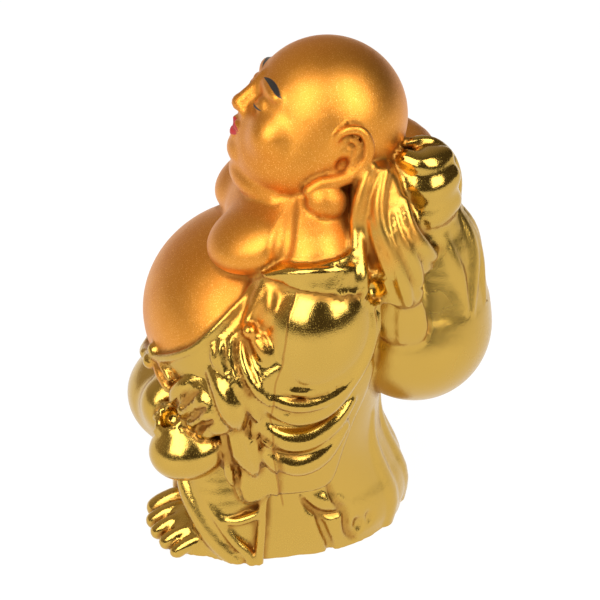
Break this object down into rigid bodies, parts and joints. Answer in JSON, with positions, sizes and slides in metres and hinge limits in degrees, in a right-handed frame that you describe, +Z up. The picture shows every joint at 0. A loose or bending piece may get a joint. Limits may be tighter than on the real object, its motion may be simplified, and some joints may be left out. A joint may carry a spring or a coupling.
{
  "type": "budai figure",
  "caption": "Small standing figure of a stout bald monk in gold plating, with bare belly and breasts, a folded robe, a pouch in the left hand and a large sack over the shoulder.",
  "frame": {"origin": "on the plane of the flat underside, midway between the figure's left and right, a little behind its toes", "axes": "-Y is the way the figure faces, +X is its left-hand side, +Z is up from the ground to the crown of the head"},
  "size_m": [0.0713, 0.0856, 0.1199],
  "materials": {
    "gold_plating": "gold-coloured plating over cast resin, mirror bright on the cloth and satin on the skin"
  },
  "bodies": {
    "root": {"budai_figure": "gold_plating"}
  },
  "joints": []
}
